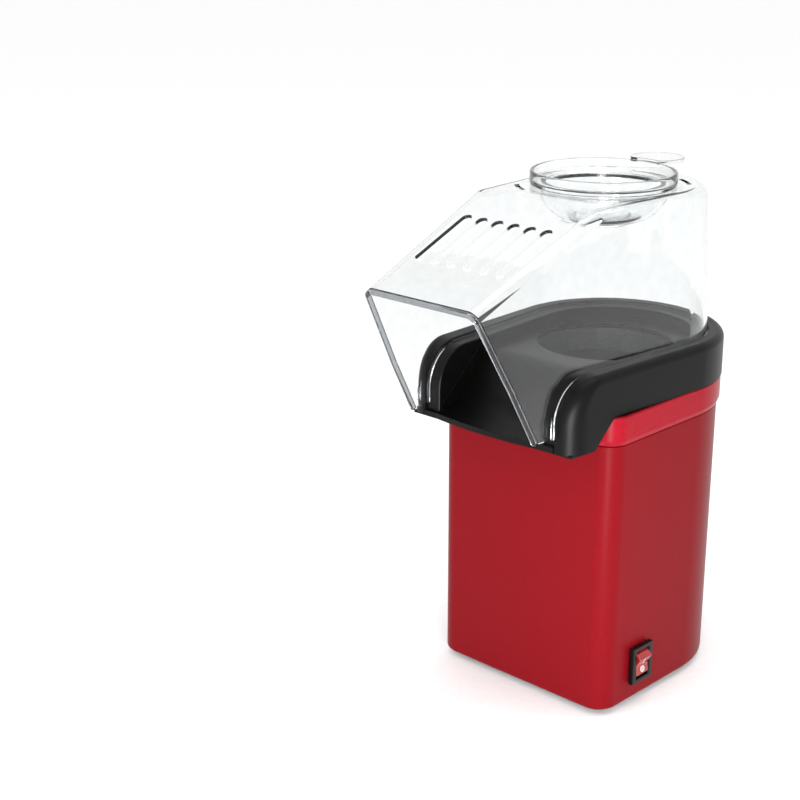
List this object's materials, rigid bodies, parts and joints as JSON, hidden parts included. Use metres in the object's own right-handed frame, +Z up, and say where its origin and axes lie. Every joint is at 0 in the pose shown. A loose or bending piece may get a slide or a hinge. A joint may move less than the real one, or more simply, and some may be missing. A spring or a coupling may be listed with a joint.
{
  "type": "popcorn maker",
  "caption": "Hot-air popcorn maker: red housing, black collar with a spout, clear lift-off chute hood and clear measuring cup, with fan, heater and popping chamber inside.",
  "frame": {"origin": "bottom centre of the whole object's box, on the surface that the feet stand on", "axes": "+Z up, -Y towards the spout, +X towards the side with the rocker switch"},
  "size_m": [0.1263, 0.2198, 0.2846],
  "materials": {
    "red_lacquer": "lacquered, glossy",
    "red_band": "satin gloss",
    "black_plastic": "satin",
    "clear_plastic": "clear, polished",
    "chamber_aluminium": "spun",
    "zinc_steel": "zinc plated",
    "bakelite": "moulded",
    "mica": "pressed flakes",
    "resistance_wire": "drawn",
    "phenolic": "moulded",
    "fuse_metal": "plain",
    "nylon": "moulded",
    "board": "solder mask",
    "switch_black": "moulded",
    "tinned_brass": "tinned",
    "rubber": "moulded",
    "fan_plastic": "moulded",
    "copper_winding": "enamelled wire",
    "diode_epoxy": "moulded",
    "rocker_red": "moulded"
  },
  "bodies": {
    "base": {"housing": "red_lacquer", "trim_band": "red_band", "collar": "black_plastic", "base_plate": "black_plastic", "foot_1": "rubber", "foot_2": "rubber", "foot_3": "rubber", "foot_4": "rubber", "base_screw_1": "zinc_steel", "base_screw_2": "zinc_steel", "base_screw_3": "zinc_steel", "base_screw_4": "zinc_steel", "popping_chamber": "chamber_aluminium", "chamber_clamp_ring": "zinc_steel", "heater_duct": "zinc_steel", "fan_shroud": "bakelite", "mica_plate_1": "mica", "mica_plate_2": "mica", "heating_coil": "resistance_wire", "thermostat": "phenolic", "thermal_fuse": "fuse_metal", "motor_can": "zinc_steel", "motor_end_cap": "nylon", "motor_mount": "zinc_steel", "rectifier_board": "board", "diode_1": "diode_epoxy", "diode_2": "diode_epoxy", "diode_3": "diode_epoxy", "diode_4": "diode_epoxy", "switch_body": "switch_black", "switch_terminal_1": "tinned_brass", "switch_terminal_2": "tinned_brass", "cord_bush": "rubber"},
    "hood": {"hood": "clear_plastic"},
    "cup": {"measuring_cup": "clear_plastic"},
    "fan": {"fan": "fan_plastic", "motor_shaft": "zinc_steel", "motor_armature": "copper_winding"},
    "rocker": {"switch_rocker": "rocker_red"}
  },
  "joints": [
    {"name": "hood_lift", "type": "slide", "parent": "base", "child": "hood", "axis": [0, 0, 1], "range_m": [0, 0.06]},
    {"name": "cup_lift", "type": "slide", "parent": "hood", "child": "cup", "axis": [0, 0, 1], "range_m": [0, 0.045]},
    {"name": "fan_spin", "type": "hinge", "parent": "base", "child": "fan", "pos_m": [0, 0.0399, 0.06], "axis": [0, 0, 1], "continuous": true},
    {"name": "switch_rock", "type": "hinge", "parent": "base", "child": "rocker", "pos_m": [0.0585, 0.0029, 0.0244], "axis": [0, 1, 0], "range_deg": [-22, 0]}
  ]
}
